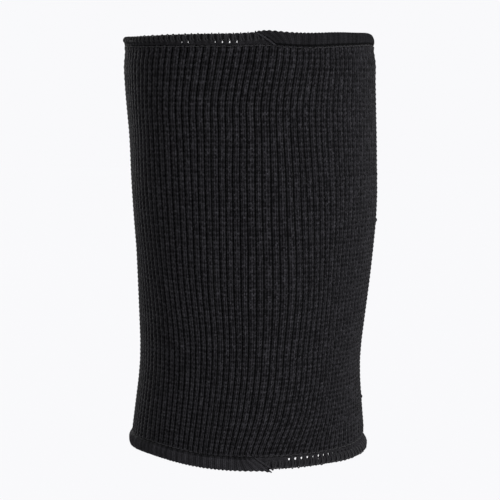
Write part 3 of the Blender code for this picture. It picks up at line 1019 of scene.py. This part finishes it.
def foam_finish(name, colour, scale):
    """Foam: fine cells, a little lighter on their walls."""
    f = Finish(name, 0.9, 0.0)
    settings = {"feature": "DISTANCE_TO_EDGE"}
    cells = f.add("ShaderNodeTexVoronoi", settings, {"Vector": f.place(), "Scale": scale})
    wall = (1.0 - cells * 4.0).math("MAXIMUM", 0.0)
    f.colour(f.blend(wall, toned(colour, 0.6), colour))
    f.raised(wall, 0.6, 0.0003)
    return f.material


# ---------------------------------------------------------------- putting it together
def dress(piece, material, body, slot, *nodes):
    """Gives a piece its material and body, and hides the CAD nodes that it stands for; its record slot is
    not used.
    A piece without a body is left unattached, its placement baked into its points."""
    piece.data.materials.append(material)
    if body:
        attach(piece, body)
    else:
        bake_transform(piece)
    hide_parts(*nodes)


knit = knit_finish()
wound_thread = thread_finish("overlock_yarn", WOUND_DARK, WOUND_LIGHT)
sewing_thread = thread_finish("sewing_thread", SEWN_DARK, SEWN_LIGHT)
pad_cloth = cover_finish()

sectors = [sleeve_sector(number) for number in range(SECTORS)]
for sector in sectors:
    dress(sector, knit, None, "sleeve_knit", *KNIT_NODES)

for hem in (LowerHem, UpperHem):
    word, body = hem.word, hem.body
    # each hem has its own copies of the band and edge yarn, painted lighter on the lower hem and darker on
    # the upper
    band = hem_finish(f"{word}_band_knit", hem.band_tone)
    dress(rolled_band(hem), band, body, "hem_band", f"{word}_rolled_band")
    edge = hem_finish(f"{word}_edge_knit", hem.edge_tone)
    dress(eyelet_strip(hem), edge, body, "hem_edge", f"{word}_edge_strip")
    dress(overlock(hem), wound_thread, body, "overlock_thread", f"{word}_overlock_thread")
    dress(needle_line(hem), sewing_thread, body, "stitch_thread", f"{word}_hem_stitch")
    fold = hem_finish(f"{word}_lap_knit", LAP_TONE)
    dress(hem_lap(hem), fold, body, "hem_lap", f"{word}_hem_lap")
dress(thread_tail("loose_thread_end"), sewing_thread, LOWER_END, "stitch_thread", "lower_thread_tail")

soft = foam("pad_soft_foam", soft_bottom, soft_top, 0.0)
soft_look = foam_finish("soft_foam", (0.16, 0.16, 0.17, 1.0), 1400.0)
dress(soft, soft_look, None, "soft_foam", "pad_foam_inner")
firm = foam("pad_firm_foam", firm_bottom, firm_top, 1.0)
firm_look = foam_finish("firm_foam", (0.09, 0.09, 0.10, 1.0), 2200.0)
dress(firm, firm_look, None, "firm_foam", "pad_foam_outer")
cover = pad_cover("pad_outer_cover")
dress(cover, pad_cloth, None, "pad_cover", "pad_cover")
for row, (size, stitches) in enumerate(BORDER_ROWS):
    line = pad_stitching(f"pad_edge_stitching_{row + 1}", size, stitches)
    dress(line, sewing_thread, None, "stitch_thread", "pad_border_stitch")
for row, height in enumerate(CHANNELS):
    line = channel_stitching(f"pad_channel_stitching_{row + 1}", height)
    dress(line, sewing_thread, None, "stitch_thread", "pad_border_stitch")

# ---------------------------------------------------------------- stage, camera and light
VIEW_TURN = math.radians(22.0)
VIEW_RIGHT = Vector((math.cos(VIEW_TURN), math.sin(VIEW_TURN), 0.0))
VIEW_NEAR = Vector((math.sin(VIEW_TURN), -math.cos(VIEW_TURN), 0.0))
VIEW_DISTANCE = 0.6095
VIEW_HEIGHT = 0.145
AIM = Vector((0.0, -0.004, 0.0867))
LENS = 98.5
SLIDE = -0.00106  # how far the aim is moved sideways
SURROUND = (0.947, 0.947, 0.965, 1.0)  # colour of the backdrop and of the floor's own light
FLOOR_REACH, FLOOR_Z = 3.0, -0.0008


def pale_floor():
    """A plain pale floor that shines with the backdrop's own colour, so that its edge melts into it. It
    lies just under the lower hem's scallops."""
    ends = (-FLOOR_REACH, FLOOR_REACH)
    corners = [(x, y, FLOOR_Z) for y, row in zip(ends, (ends, ends[::-1])) for x in row]
    floor = build("floor", corners, [(0, 1, 2, 3)])
    f = Finish("pale_floor", 0.9, 0.0, 0.0)
    f.shader.inputs["Base Color"].default_value = (0.001, 0.001, 0.001, 1.0)
    f.shader.inputs["Emission Color"].default_value = SURROUND
    f.shader.inputs["Emission Strength"].default_value = 1.0
    floor.data.materials.append(f.material)


def panel(name, right, near, up, size, power):
    """A soft square light facing the sleeve, which the camera doesn't see; its place is given from AIM, as
    the view sees it."""
    light = bpy.data.lights.new(name, "AREA")
    light.shape, light.size, light.energy = "SQUARE", size, power
    lamp = bpy.data.objects.new(name, light)
    offset = VIEW_RIGHT * right + VIEW_NEAR * near + Vector((0.0, 0.0, up))
    lamp.location = AIM + offset
    lamp.visible_camera = False
    lamp.rotation_euler = (-offset).to_track_quat("-Z", "Y").to_euler()
    bpy.context.scene.collection.objects.link(lamp)


def studio():
    """Pale surroundings, a soft key from the right of the view and a weaker light from behind left."""
    world = bpy.data.worlds.new("studio")
    world.use_nodes = True
    back = world.node_tree.nodes["Background"]
    back.inputs["Color"].default_value = SURROUND
    back.inputs["Strength"].default_value = 1.0
    bpy.context.scene.world = world
    bpy.context.scene.view_settings.view_transform = "Standard"
    panel("key", 0.52, 0.74, 0.10, 0.35, 12.5)
    panel("edge", -0.50, -0.86, 0.13, 0.4, 8.0)


def camera():
    """The camera: level with the upper part of the sleeve, a little down and round to the right."""
    data = bpy.data.cameras.new("camera")
    data.lens, data.sensor_width = LENS, 36.0
    data.clip_start, data.clip_end = 0.01, 20.0
    eye = bpy.data.objects.new("camera", data)
    aim = AIM + VIEW_RIGHT * SLIDE
    eye.location = Vector((aim.x, aim.y, VIEW_HEIGHT)) + VIEW_NEAR * VIEW_DISTANCE
    eye.rotation_euler = (aim - eye.location).to_track_quat("-Z", "Y").to_euler()
    bpy.context.scene.collection.objects.link(eye)
    bpy.context.scene.camera = eye


pale_floor()
studio()
camera()
